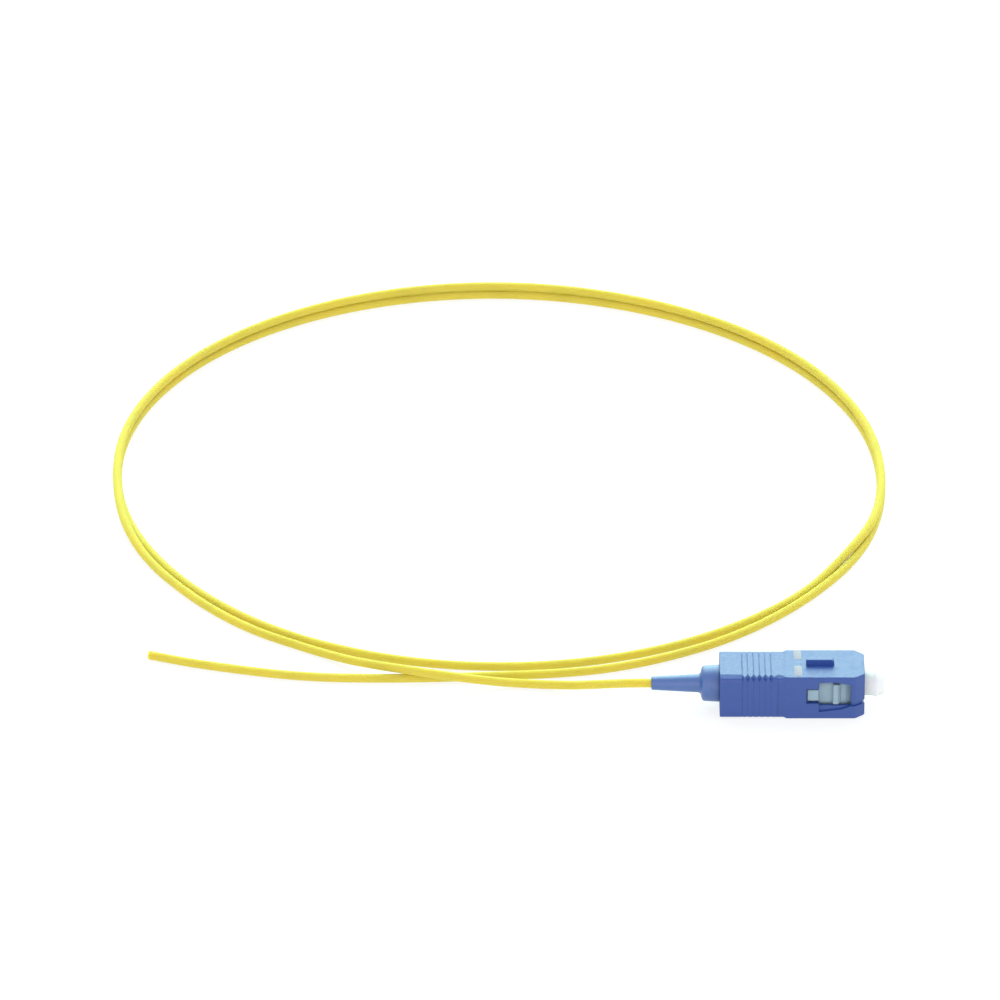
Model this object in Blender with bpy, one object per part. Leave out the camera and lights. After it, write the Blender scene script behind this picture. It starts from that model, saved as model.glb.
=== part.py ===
"""Fibre optic pigtail: a push-pull plug on one end of a buffered fibre cord.

The plug lies on the floor along X with its nose towards +X. The cord leaves
the boot towards -X, makes two turns behind the plug and ends in a bare cut.
All lengths are in metres; the origin is the bottom centre of the plug.
"""
import math

import bmesh
import bpy

MM = 0.001

# ---- plug, along X -------------------------------------------------------
AXIS_Z = 3.95 * MM          # ferrule axis above the floor
HOUSING_BACK = -7.51 * MM
HOUSING_FRONT = 15.09 * MM
STEP_BACK = 2.43 * MM       # ramp between the rear and the front section
STEP_FRONT = 2.82 * MM
FRONT_W, FRONT_Z0, FRONT_Z1 = 9.0 * MM, 0.0, 7.4 * MM
REAR_W, REAR_Z0, REAR_Z1 = 8.66 * MM, 0.17 * MM, 7.23 * MM
REAR_CHAMFER = 1.1 * MM      # the rounding of the near top edge
FRONT_CHAMFER = 0.12 * MM
LEAD_IN_LEN, LEAD_IN, LEAD_IN_TOP = 1.45 * MM, 1.2 * MM, 0.06 * MM
RIB_COUNT = 6
RIB_FIRST, RIB_PITCH = -3.62 * MM, 0.914 * MM
RIB_TOP, RIB_FOOT = 0.26 * MM, 0.5 * MM
GROOVE_DEPTH = 0.09 * MM
RIB_CORNER = 0.5 * MM        # the same edge at the ribs
EDGE = 0.12 * MM             # the edges that aren't chamfered
CAVITY_W, CAVITY_Z0, CAVITY_Z1 = 7.3 * MM, 1.1 * MM, 6.8 * MM
CAVITY_BACK = -5.8 * MM
MOUTH_X, MOUTH_W = 13.7 * MM, 6.2 * MM   # the cavity narrows to its mouth
BACK_HOLE_R = 3.05 * MM
KEY = (5.98 * MM, 10.37 * MM, -0.5 * MM, 0.42 * MM, 8.35 * MM)
WINDOW_WIDE = ((7.95, 1.25), (11.4, 1.7), (12.95, 2.25), (12.95, 5.93), (10.8, 6.42), (7.95, 6.42))
WINDOW_NECK = (6.0 * MM, 8.1 * MM, 2.72 * MM, 5.26 * MM)

# ---- plug frame and what it holds ----------------------------------------
FRAME_BACK, FRAME_FRONT = -5.0 * MM, 14.5 * MM
FRAME_W, FRAME_Z0, FRAME_Z1 = 6.9 * MM, 1.3 * MM, 6.6 * MM
FRAME_CHAMFER = 1.1 * MM
FRAME_SHOULDER, FRAME_NOSE_X = 12.1 * MM, 13.3 * MM
FRAME_NOSE_W, FRAME_TIP_W = 5.8 * MM, 5.6 * MM
FRONT_BORE_R, FRONT_BORE_BACK = 2.2 * MM, 7.5 * MM
STOP_BORE_R, STOP_BACK = 1.6 * MM, 6.05 * MM
BACK_BORE_R = 2.3 * MM
RIDGE = (10.13 * MM, 10.98 * MM, 2.45 * MM, 5.85 * MM, 4.2 * MM)
TAB = (6.27 * MM, 7.9 * MM, 2.95 * MM, 4.95 * MM, 4.15 * MM)
FERRULE_R = 1.25 * MM
FERRULE_BACK, FERRULE_TIP = 2.4 * MM, 15.6 * MM
FLANGE_R, FLANGE_BACK, FLANGE_FRONT = 2.15 * MM, 4.0 * MM, 6.0 * MM
TUBE_R, TUBE_BACK = 1.6 * MM, -2.3 * MM
TUBE_BORE_R = 0.75 * MM
PRESS_GAP = 0.03 * MM
SPRING_R, SPRING_WIRE = 1.93 * MM, 0.2 * MM
SPRING_X0, SPRING_X1, SPRING_TURNS = -3.3 * MM, 3.75 * MM, 7
BODY_FRONT, BODY_BACK = -3.6 * MM, -9.8 * MM
BODY_PLUG_R, BODY_RIM_R, BODY_STUB_R = 2.25 * MM, 2.7 * MM, 1.5 * MM
BODY_RIM = (-5.95 * MM, -5.05 * MM)
BODY_BORE_R = 0.75 * MM
BODY_MOUTH_R = 1.8 * MM

# ---- boot -----------------------------------------------------------------
BOOT_TIP, BOOT_CONE_END = -18.15 * MM, -10.62 * MM
BOOT_COLLAR_BACK, BOOT_FRONT = -10.02 * MM, -6.1 * MM
BOOT_TIP_R, BOOT_CONE_R, BOOT_COLLAR_R = 1.055 * MM, 1.5 * MM, 2.79 * MM
BOOT_BORE_R, BOOT_HOLLOW_R, BOOT_HOLLOW_BACK = 0.76 * MM, 1.55 * MM, -9.9 * MM

# ---- dust cap ---------------------------------------------------------------
CAP_BACK, CAP_RING0, CAP_RING1, CAP_TIP = 9.0 * MM, 16.65 * MM, 17.1 * MM, 18.15 * MM
CAP_R, CAP_RING_R, CAP_TIP_R = 1.865 * MM, 2.08 * MM, 1.485 * MM
CAP_BORE_R, CAP_BORE_END = 1.3 * MM, 16.0 * MM

# ---- cord -------------------------------------------------------------------
CORD_D = 1.4 * MM
CORD_R = CORD_D / 2
EXIT_GAP = 0.3 * MM
LOOP_CX, LOOP_CY = -42.17 * MM, 77.5 * MM
LOOP_A, LOOP_B = 61.85 * MM, 65.67 * MM
TOUCH = 1.45 * MM           # between the middles of turns that touch
SIDE_FAR = 1.28 * MM        # how much further apart they lie at the near right
TOP_STEP = 0.22 * MM        # the upper turn's step outward on the far side
# how far the lower turn lies outside the ellipse, every 30 degrees, in mm
LOWER_STEP = (0.35, 0.0, -0.52, -0.03, 0.12, 0.0, -0.35, -0.85, -0.55, 0.22, 0.4, 0.5)
LEAD_END = -37.1 * MM       # where the lead's solid meets the coil's
TAIL_START = -59.9 * MM     # where the tail's solid meets the coil's

SEG = 48                    # facets round a turned piece


def collection(name):
    c = bpy.data.collections.new(name)
    bpy.context.scene.collection.children.link(c)
    return c


def material(name, rgb, rough, metal=0.0, alpha_like=0.0):
    m = bpy.data.materials.new(name)
    m.use_nodes = True
    p = m.node_tree.nodes["Principled BSDF"]
    p.inputs["Base Color"].default_value = (rgb[0], rgb[1], rgb[2], 1.0)
    p.inputs["Roughness"].default_value = rough
    p.inputs["Metallic"].default_value = metal
    p.inputs["Transmission Weight"].default_value = alpha_like
    m.diffuse_color = (rgb[0], rgb[1], rgb[2], 1.0)
    return m


def mesh_object(name, bm, coll, mat):
    bmesh.ops.recalc_face_normals(bm, faces=bm.faces[:])
    me = bpy.data.meshes.new(name)
    bm.to_mesh(me)
    bm.free()
    ob = bpy.data.objects.new(name, me)
    coll.objects.link(ob)
    if mat is not None:
        me.materials.append(mat)
    return ob


def loft(name, rings, coll, mat, closed=False):
    """A closed solid through rings of points, one after the other."""
    bm = bmesh.new()
    made = [[bm.verts.new(p) for p in ring] for ring in rings]
    n = len(made[0])
    last = len(made) if closed else len(made) - 1
    for i in range(last):
        a, b = made[i], made[(i + 1) % len(made)]
        for k in range(n):
            bm.faces.new((a[k], a[(k + 1) % n], b[(k + 1) % n], b[k]))
    if not closed:
        bm.faces.new(list(reversed(made[0])))
        bm.faces.new(made[-1])
    return mesh_object(name, bm, coll, mat)


def box_ring(x, w, z0, z1, c):
    """The outline of a bar along X: a rectangle with its corners cut."""
    h = w / 2
    return [(x, -h + c, z0), (x, h - c, z0), (x, h, z0 + c), (x, h, z1 - c),
            (x, h - c, z1), (x, -h + c, z1), (x, -h, z1 - c), (x, -h, z0 + c)]


def housing_ring(x, w, z0, z1, near_top, rest=EDGE):
    """The housing's outline: only its near top edge has a wide chamfer."""
    h = w / 2
    return [(x, -h + rest, z0), (x, h - rest, z0), (x, h, z0 + rest), (x, h, z1 - rest),
            (x, h - rest, z1), (x, -h + near_top, z1), (x, -h + 0.3 * near_top, z1 - 0.26 * near_top),
            (x, -h, z1 - 0.72 * near_top), (x, -h, z0 + rest)]


def turned(name, outline, coll, mat, seg=SEG):
    """A solid turned about the ferrule axis from a closed outline (x, r).

    Points with r = 0 lie on the axis.
    """
    bm = bmesh.new()
    rings = []
    for x, r in outline:
        if r <= 0.0:
            rings.append([bm.verts.new((x, 0.0, AXIS_Z))])
        else:
            ring = []
            for k in range(seg):
                t = 2 * math.pi * (k + 0.5) / seg
                ring.append(bm.verts.new((x, r * math.cos(t), AXIS_Z + r * math.sin(t))))
            rings.append(ring)
    count = len(rings)
    on_axis = len(rings[0]) == 1 and len(rings[-1]) == 1
    for i in range(count - 1 if on_axis else count):
        a, b = rings[i], rings[(i + 1) % count]
        for k in range(seg):
            k2 = (k + 1) % seg
            if len(a) == 1 and len(b) == 1:
                continue
            if len(a) == 1:
                bm.faces.new((a[0], b[k], b[k2]))
            elif len(b) == 1:
                bm.faces.new((a[k], b[0], a[k2]))
            else:
                bm.faces.new((a[k], b[k], b[k2], a[k2]))
    return mesh_object(name, bm, coll, mat)


def block(name, x0, x1, y0, y1, z0, z1, coll, mat=None):
    rings = [[(x, y0, z0), (x, y1, z0), (x, y1, z1), (x, y0, z1)] for x in (x0, x1)]
    return loft(name, rings, coll, mat)


def boolean(target, tool, operation):
    tool.hide_render = True
    tool.display_type = 'WIRE'
    mod = target.modifiers.new(operation.lower() + "_" + tool.name, 'BOOLEAN')
    mod.operation = operation
    mod.solver = 'EXACT'
    mod.object = tool
    return mod


def smooth_curve(points, step):
    """Points about step apart on a centripetal spline through the given ones."""
    def sub(a, b):
        return [a[i] - b[i] for i in range(3)]

    pts = [list(points[0])] + [list(p) for p in points] + [list(points[-1])]
    pts[0] = [2 * pts[1][i] - pts[2][i] for i in range(3)]
    pts[-1] = [2 * pts[-2][i] - pts[-3][i] for i in range(3)]
    out = []
    for i in range(1, len(pts) - 2):
        p0, p1, p2, p3 = pts[i - 1], pts[i], pts[i + 1], pts[i + 2]
        d = [math.sqrt(max(math.dist(a, b), 1e-12)) for a, b in ((p0, p1), (p1, p2), (p2, p3))]
        m1 = [0.0] * 3
        m2 = [0.0] * 3
        for k in range(3):
            m1[k] = (p2[k] - p1[k]) + d[1] * ((p1[k] - p0[k]) / d[0] - (p2[k] - p0[k]) / (d[0] + d[1]))
            m2[k] = (p2[k] - p1[k]) + d[1] * ((p3[k] - p2[k]) / d[2] - (p3[k] - p1[k]) / (d[1] + d[2]))
        n = max(1, int(round(math.dist(p1, p2) / step)))
        for j in range(n):
            t = j / n
            h1, h2 = 2 * t ** 3 - 3 * t ** 2 + 1, -2 * t ** 3 + 3 * t ** 2
            h3, h4 = t ** 3 - 2 * t ** 2 + t, t ** 3 - t ** 2
            out.append([h1 * p1[k] + h2 * p2[k] + h3 * m1[k] + h4 * m2[k] for k in range(3)])
    out.append(list(pts[-2]))
    return [(p[0], p[1], max(p[2], CORD_R)) for p in out]


def ease(t):
    t = min(1.0, max(0.0, t))
    return t * t * (3 - 2 * t)


def loop_point(deg, out, rise):
    """A point of the loop: deg from its near side towards the left."""
    f = math.radians(deg)
    return (LOOP_CX - (LOOP_A + out) * math.sin(f),
            LOOP_CY - (LOOP_B + out) * math.cos(f),
            CORD_R + rise)


def lower_line(deg):
    """Outward step of the line that the lower turn follows."""
    n = len(LOWER_STEP)
    u = (deg % 360.0) / 360.0 * n
    i = int(u)
    t = u - i
    p0, p1, p2, p3 = (LOWER_STEP[(i + k) % n] for k in (-1, 0, 1, 2))
    return MM * 0.5 * (2 * p1 + (p2 - p0) * t + (2 * p0 - 5 * p1 + 4 * p2 - p3) * t * t
                       + (3 * p1 - p0 - 3 * p2 + p3) * t ** 3)


def second_turn(deg):
    """Outward step and rise of the turn that ends in the tail."""
    apart = TOUCH * ease((deg - 264.0) / 38.0) + SIDE_FAR * ease((deg - 302.0) / 36.0)
    return lower_line(deg) + apart, 0.0


def first_turn(deg):
    """Outward step and rise of the turn that starts at the plug.

    It comes in beside the lower turn, climbs onto it at the left, lies on it
    round the far side and comes down inside it at the right.
    """
    line = lower_line(deg)
    if deg < 58.0:
        return line + TOUCH + 0.7 * MM * (1 - ease((deg - 34.0) / 24.0)), 0.0
    if deg < 90.0:
        t = math.pi / 2 * ease((deg - 58.0) / 32.0)
        return line + TOUCH * math.cos(t), TOUCH * math.sin(t)
    if deg < 284.0:
        step = TOP_STEP * ease((deg - 135.0) / 40.0) * ease((264.0 - deg) / 40.0)
        return second_turn(deg)[0] + step, math.sqrt(TOUCH ** 2 - step ** 2)
    t = math.pi / 2 * ease((deg - 284.0) / 24.0)
    beside = second_turn(deg)[0] - TOUCH * math.sin(t)
    k = ease((deg - 300.0) / 20.0)
    return beside + (line - beside) * k, TOUCH * math.cos(t)


LEAD_POINTS = [(-18.45, 0.0, 3.95), (-20.2, 0.06, 3.93), (-22.4, 0.58, 3.6), (-26.1, 2.3, 2.5),
               (-30.0, 4.05, 1.4), (-33.9, 5.2, 0.85), (-37.9, 5.75, 0.76), (-41.8, 5.8, 1.02),
               (-45.7, 5.75, 1.52), (-49.6, 6.0, 1.96), (-53.5, 6.75, 2.16), (-57.5, 8.1, 2.14),
               (-61.4, 10.05, 1.76), (-65.4, 12.7, 1.18), (-69.4, 15.55, 0.81), (-73.4, 18.3, 0.7)]
TAIL_POINTS = [(-18.2, 13.35, 0.7), (-26.1, 10.5, 0.7), (-33.9, 9.1, 0.7), (-41.8, 8.45, 0.7),
               (-48.0, 8.0, 0.7), (-54.5, 7.7, 0.7), (-61.1, 7.6, 0.7), (-69.7, 7.93, 0.7),
               (-76.2, 8.88, 0.7), (-84.0, 10.8, 0.7), (-90.5, 12.75, 0.7), (-97.1, 15.3, 0.7)]


def lead_route():
    return [tuple(c * MM for c in p) for p in LEAD_POINTS]


def tail_route():
    return [tuple(c * MM for c in p) for p in TAIL_POINTS]


def loop_route():
    pts = [loop_point(d, *first_turn(d)) for d in range(36, 360, 6)]
    pts += [loop_point(d, *second_turn(d)) for d in range(0, 331, 6)]
    return pts


def cord_route():
    """The whole cord, from the boot to the cut end."""
    return lead_route() + loop_route() + tail_route()


def tube(name, pts, coll, mat):
    cu = bpy.data.curves.new(name, 'CURVE')
    cu.dimensions = '3D'
    cu.bevel_depth = CORD_R
    cu.bevel_resolution = 2
    cu.use_fill_caps = True
    sp = cu.splines.new('POLY')
    sp.points.add(len(pts) - 1)
    for i, p in enumerate(pts):
        sp.points[i].co = (p[0], p[1], p[2], 1.0)
    ob = bpy.data.objects.new(name, cu)
    coll.objects.link(ob)
    cu.materials.append(mat)
    return ob


def cut_at(pts, x):
    """The points up to the place where the route first passes x."""
    out = [pts[0]]
    for a, b in zip(pts, pts[1:]):
        if (a[0] - x) * (b[0] - x) <= 0 and a[0] != b[0]:
            t = (x - a[0]) / (b[0] - a[0])
            if t * math.dist(a, b) < CORD_R and len(out) > 1:
                out.pop()
            out.append(tuple(a[k] + (b[k] - a[k]) * t for k in range(3)))
            return out
        out.append(b)
    return out


def coil_ring(coll, mat):
    """The outer shape of both turns, with the place where lead and tail cross."""
    stations = [-4.0, -3.9, 0.0, 3.0, 6.0, 9.0, 12.0, 13.5, 15.0, 17.0, 20.0]
    stations += [float(d) for d in range(25, 351, 5)] + [353.0]
    rings = []
    for d in stations:
        inner = lower_line(d)
        if d <= -4.0 or d > 308.0:
            out, top_in, top_out = second_turn(d % 360.0)[0], 0.0, 0.0
        elif d <= 13.5:
            out, top_in, top_out = 6.45 * MM, 0.0, TOUCH
        elif d < 40.0:
            t = ease((d - 10.0) / 22.0)
            out = 5.9 * MM + (2.25 - 5.9) * MM * t
            top_in, top_out = 0.0, TOUCH * (1 - t)
        else:
            step, rise = first_turn(d)
            out = max(step, second_turn(d)[0])
            top_in = top_out = rise
        inner -= CORD_R + 0.02 * MM
        outer = out + CORD_R + 0.02 * MM
        a, b = loop_point(d, inner, 0.0), loop_point(d, outer, 0.0)
        rings.append([(a[0], a[1], 0.0), (b[0], b[1], 0.0),
                      (b[0], b[1], CORD_D + top_out + 0.02 * MM),
                      (a[0], a[1], CORD_D + top_in + 0.02 * MM)])
    ob = loft("cable_coil", rings, coll, mat, closed=True)
    return ob


def build():
    for ob in list(bpy.data.objects):
        bpy.data.objects.remove(ob, do_unlink=True)
    parts = collection("fibre_optic_pigtail")
    cutters = collection("cutters")

    blue = material("blue_plastic", (0.13, 0.30, 0.62), 0.35)
    blue_rubber = material("blue_rubber", (0.12, 0.27, 0.58), 0.5)
    white = material("white_plastic", (0.78, 0.80, 0.80), 0.4)
    zirconia = material("zirconia", (0.85, 0.86, 0.84), 0.12)
    nickel = material("nickel", (0.62, 0.62, 0.60), 0.25, 1.0)
    steel = material("steel_wire", (0.55, 0.56, 0.58), 0.3, 1.0)
    body_mat = material("dark_plastic", (0.20, 0.22, 0.24), 0.45)
    clear = material("clear_cap", (0.86, 0.90, 0.88), 0.25, 0.0, 0.7)
    yellow = material("yellow_jacket", (0.78, 0.66, 0.07), 0.45)

    # outer housing ---------------------------------------------------------
    def rear(x, grow=0.0, cut=REAR_CHAMFER):
        return housing_ring(x, REAR_W + 2 * grow, REAR_Z0 - grow, REAR_Z1 + grow, cut)

    rings = [rear(HOUSING_BACK, -0.12 * MM), rear(HOUSING_BACK + 0.14 * MM)]
    for i in range(RIB_COUNT):
        x = RIB_FIRST + i * RIB_PITCH
        if i == 0:
            rings.append(rear(x - RIB_PITCH / 2))
            rings.append(rear(x - RIB_FOOT / 2 - 0.02 * MM, -GROOVE_DEPTH, REAR_CHAMFER - 0.1 * MM))
        else:
            rings.append(rear(x - RIB_PITCH + RIB_FOOT / 2, -GROOVE_DEPTH, REAR_CHAMFER - 0.1 * MM))
            rings.append(rear(x - RIB_FOOT / 2, -GROOVE_DEPTH, REAR_CHAMFER - 0.1 * MM))
        rings.append(rear(x - RIB_TOP / 2, 0.0, RIB_CORNER))
        rings.append(rear(x + RIB_TOP / 2, 0.0, RIB_CORNER))
    x = RIB_FIRST + (RIB_COUNT - 1) * RIB_PITCH
    rings.append(rear(x + RIB_FOOT / 2, -GROOVE_DEPTH, REAR_CHAMFER - 0.1 * MM))
    rings.append(rear(x + RIB_PITCH / 2 + 0.05 * MM))
    rings.append(rear(STEP_BACK))
    rings.append(housing_ring(STEP_FRONT, FRONT_W, FRONT_Z0, FRONT_Z1, FRONT_CHAMFER))
    rings.append(housing_ring(HOUSING_FRONT - LEAD_IN_LEN, FRONT_W, FRONT_Z0, FRONT_Z1, FRONT_CHAMFER))
    rings.append(housing_ring(HOUSING_FRONT, FRONT_W - 2 * LEAD_IN, FRONT_Z0 + LEAD_IN_TOP,
                              FRONT_Z1 - LEAD_IN_TOP, FRONT_CHAMFER))
    housing = loft("outer_housing", rings, parts, blue)
    key = loft("key_rail", [
        [(KEY[0], KEY[2], 7.0 * MM), (KEY[0], KEY[3], 7.0 * MM),
         (KEY[0], KEY[3], KEY[4]), (KEY[0], KEY[2], KEY[4])],
        [(KEY[1] - 0.25 * MM, KEY[2], 7.0 * MM), (KEY[1] - 0.25 * MM, KEY[3], 7.0 * MM),
         (KEY[1] - 0.25 * MM, KEY[3], KEY[4]), (KEY[1] - 0.25 * MM, KEY[2], KEY[4])],
        [(KEY[1], KEY[2], 7.0 * MM), (KEY[1], KEY[3], 7.0 * MM),
         (KEY[1], KEY[3], KEY[4] - 0.25 * MM), (KEY[1], KEY[2], KEY[4] - 0.25 * MM)]],
        cutters, None)
    boolean(housing, key, 'UNION')
    h = CAVITY_W / 2
    cavity = loft("cavity", [box_ring(CAVITY_BACK, CAVITY_W, CAVITY_Z0, CAVITY_Z1, 0.35 * MM),
                             box_ring(MOUTH_X, CAVITY_W, CAVITY_Z0, CAVITY_Z1, 0.35 * MM),
                             box_ring(HOUSING_FRONT, MOUTH_W, CAVITY_Z0, CAVITY_Z1, 0.35 * MM),
                             box_ring(HOUSING_FRONT + 1 * MM, MOUTH_W, CAVITY_Z0, CAVITY_Z1, 0.35 * MM)],
                  cutters, None)
    boolean(housing, cavity, 'DIFFERENCE')
    hole = turned("back_hole", [(HOUSING_BACK - 1 * MM, 0.0), (HOUSING_BACK - 1 * MM, BACK_HOLE_R),
                                (CAVITY_BACK + 1 * MM, BACK_HOLE_R), (CAVITY_BACK + 1 * MM, 0.0)],
                  cutters, None)
    boolean(housing, hole, 'DIFFERENCE')
    wide = loft("window_wide", [[(x * MM, y, z * MM) for x, z in WINDOW_WIDE]
                                for y in (-6 * MM, 6 * MM)], cutters, None)
    boolean(housing, wide, 'DIFFERENCE')
    neck = block("window_neck", WINDOW_NECK[0], WINDOW_NECK[1], -6 * MM, 6 * MM,
                 WINDOW_NECK[2], WINDOW_NECK[3], cutters)
    boolean(housing, neck, 'DIFFERENCE')

    # plug frame ------------------------------------------------------------
    def fr(x, grow=0.0, cut=FRAME_CHAMFER):
        return box_ring(x, FRAME_W + 2 * grow, FRAME_Z0 - grow, FRAME_Z1 + grow, cut)

    frame = loft("plug_frame", [fr(FRAME_BACK, -0.15 * MM), fr(FRAME_BACK + 0.2 * MM),
                                fr(FRAME_SHOULDER),
                                box_ring(FRAME_NOSE_X, FRAME_NOSE_W, 1.4 * MM, 6.5 * MM, 1.0 * MM),
                                box_ring(FRAME_FRONT, FRAME_TIP_W, 1.5 * MM, 6.4 * MM, 1.0 * MM)],
                 parts, white)
    for side in (-1, 1):
        tag = "near" if side < 0 else "far"
        y_in, y_out = side * 3.2 * MM, side * RIDGE[4]
        ridge = loft("ridge_" + tag, [
            [(RIDGE[0], y_in, RIDGE[2]), (RIDGE[0], y_in, RIDGE[3]),
             (RIDGE[0], y_out, RIDGE[3]), (RIDGE[0], y_out, RIDGE[2])],
            [(RIDGE[1], y_in, RIDGE[2]), (RIDGE[1], y_in, RIDGE[3]),
             (RIDGE[1], y_out, RIDGE[3]), (RIDGE[1], y_out, RIDGE[2])],
            [(RIDGE[1] + 0.48 * MM, y_in, RIDGE[2] + 0.1 * MM), (RIDGE[1] + 0.48 * MM, y_in, RIDGE[3] - 0.4 * MM),
             (RIDGE[1] + 0.48 * MM, side * 3.44 * MM, RIDGE[3] - 0.4 * MM),
             (RIDGE[1] + 0.48 * MM, side * 3.44 * MM, RIDGE[2] + 0.1 * MM)]],
            cutters, None)
        boolean(frame, ridge, 'UNION')
        tab = block("tab_" + tag, TAB[0], TAB[1], min(side * 3.2 * MM, side * TAB[4]),
                    max(side * 3.2 * MM, side * TAB[4]), TAB[2], TAB[3], cutters)
        boolean(frame, tab, 'UNION')
    bore = turned("frame_bore", [(FRAME_BACK - 1 * MM, 0.0), (FRAME_BACK - 1 * MM, BACK_BORE_R),
                                 (STOP_BACK, BACK_BORE_R), (STOP_BACK, STOP_BORE_R),
                                 (FRONT_BORE_BACK, STOP_BORE_R), (FRONT_BORE_BACK, FRONT_BORE_R),
                                 (FRAME_FRONT + 1 * MM, FRONT_BORE_R), (FRAME_FRONT + 1 * MM, 0.0)],
                  cutters, None)
    boolean(frame, bore, 'DIFFERENCE')

    # ferrule and its flange -------------------------------------------------
    turned("ferrule", [(FERRULE_BACK, 0.0), (FERRULE_BACK, FERRULE_R),
                       (FERRULE_TIP - 0.55 * MM, FERRULE_R),
                       (FERRULE_TIP - 0.05 * MM, 0.95 * MM), (FERRULE_TIP, 0.7 * MM),
                       (FERRULE_TIP, 0.0)], parts, zirconia)
    turned("ferrule_flange", [(TUBE_BACK, TUBE_BORE_R), (TUBE_BACK, TUBE_R - 0.1 * MM),
                              (TUBE_BACK + 0.1 * MM, TUBE_R), (FLANGE_BACK, TUBE_R),
                              (FLANGE_BACK, FLANGE_R - 0.1 * MM), (FLANGE_BACK + 0.1 * MM, FLANGE_R),
                              (FLANGE_FRONT - 0.3 * MM, FLANGE_R), (FLANGE_FRONT, FLANGE_R - 0.3 * MM),
                              (FLANGE_FRONT, FERRULE_R + PRESS_GAP),
                              (FERRULE_BACK - PRESS_GAP, FERRULE_R + PRESS_GAP),
                              (FERRULE_BACK - PRESS_GAP, TUBE_BORE_R)], parts, nickel)

    # spring ----------------------------------------------------------------
    cu = bpy.data.curves.new("spring", 'CURVE')
    cu.dimensions = '3D'
    cu.bevel_depth = SPRING_WIRE
    cu.bevel_resolution = 1
    cu.use_fill_caps = True
    per = 20
    total = SPRING_TURNS * per
    sp = cu.splines.new('POLY')
    sp.points.add(total)
    for i in range(total + 1):
        t = i / total
        a = 2 * math.pi * SPRING_TURNS * t
        # closed end turns
        u = (ease(t) * 0.35 + t * 0.65)
        x = SPRING_X0 + SPRING_WIRE + (SPRING_X1 - SPRING_X0 - 2 * SPRING_WIRE) * u
        sp.points[i].co = (x, SPRING_R * math.cos(a), AXIS_Z + SPRING_R * math.sin(a), 1.0)
    spring = bpy.data.objects.new("spring", cu)
    parts.objects.link(spring)
    cu.materials.append(steel)

    # rear body -------------------------------------------------------------
    turned("rear_body", [(BODY_BACK, BODY_BORE_R), (BODY_BACK, BODY_STUB_R - 0.1 * MM),
                         (BODY_BACK + 0.1 * MM, BODY_STUB_R), (BODY_RIM[0], BODY_STUB_R),
                         (BODY_RIM[0], BODY_RIM_R), (BODY_RIM[1], BODY_RIM_R),
                         (BODY_RIM[1], BODY_PLUG_R), (BODY_FRONT, BODY_PLUG_R),
                         (BODY_FRONT, BODY_MOUTH_R), (BODY_FRONT - 0.9 * MM, BODY_MOUTH_R),
                         (BODY_FRONT - 0.9 * MM, BODY_BORE_R)], parts, body_mat)

    # boot ------------------------------------------------------------------
    prof = [(BOOT_TIP, BOOT_BORE_R), (BOOT_TIP, BOOT_TIP_R - 0.08 * MM),
            (BOOT_TIP + 0.08 * MM, BOOT_TIP_R), (BOOT_CONE_END, BOOT_CONE_R)]
    for i in range(1, 5):
        t = math.pi / 2 * i / 5
        prof.append((BOOT_CONE_END + 0.38 * MM * math.sin(t),
                     BOOT_CONE_R + 0.5 * MM * (1 - math.cos(t))))
    prof.append((BOOT_CONE_END + 0.38 * MM, BOOT_CONE_R + 0.55 * MM))
    for i in range(0, 5):
        t = math.pi / 2 * i / 4
        prof.append((BOOT_COLLAR_BACK + 0.15 * MM - 0.35 * MM * math.cos(t),
                     BOOT_COLLAR_R - 0.35 * MM * (1 - math.sin(t))))
    prof += [(BOOT_FRONT - 0.1 * MM, BOOT_COLLAR_R), (BOOT_FRONT, BOOT_COLLAR_R - 0.1 * MM),
             (BOOT_FRONT, BOOT_HOLLOW_R), (BOOT_HOLLOW_BACK, BOOT_HOLLOW_R),
             (BOOT_HOLLOW_BACK, BOOT_BORE_R)]
    turned("boot", prof, parts, blue_rubber)

    # dust cap --------------------------------------------------------------
    turned("dust_cap", [(CAP_BACK, CAP_BORE_R), (CAP_BACK, CAP_R - 0.1 * MM),
                        (CAP_BACK + 0.1 * MM, CAP_R), (CAP_RING0 - 0.25 * MM, CAP_R),
                        (CAP_RING0, CAP_RING_R), (CAP_RING1, CAP_RING_R - 0.03 * MM),
                        (CAP_TIP - 0.15 * MM, CAP_TIP_R + 0.07 * MM), (CAP_TIP, CAP_TIP_R - 0.1 * MM),
                        (CAP_TIP, 0.0), (CAP_BORE_END, 0.0), (CAP_BORE_END, CAP_BORE_R)],
           parts, clear)

    # cord ------------------------------------------------------------------
    lead = smooth_curve(lead_route(), 2.7 * MM)
    tube("cable_lead", cut_at(lead, LEAD_END), parts, yellow)
    tail = smooth_curve(tail_route(), 2.7 * MM)
    tube("cable_tail", cut_at(tail[::-1], TAIL_START), parts, yellow)
    coil_ring(parts, yellow)


build()
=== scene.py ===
import math

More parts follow.
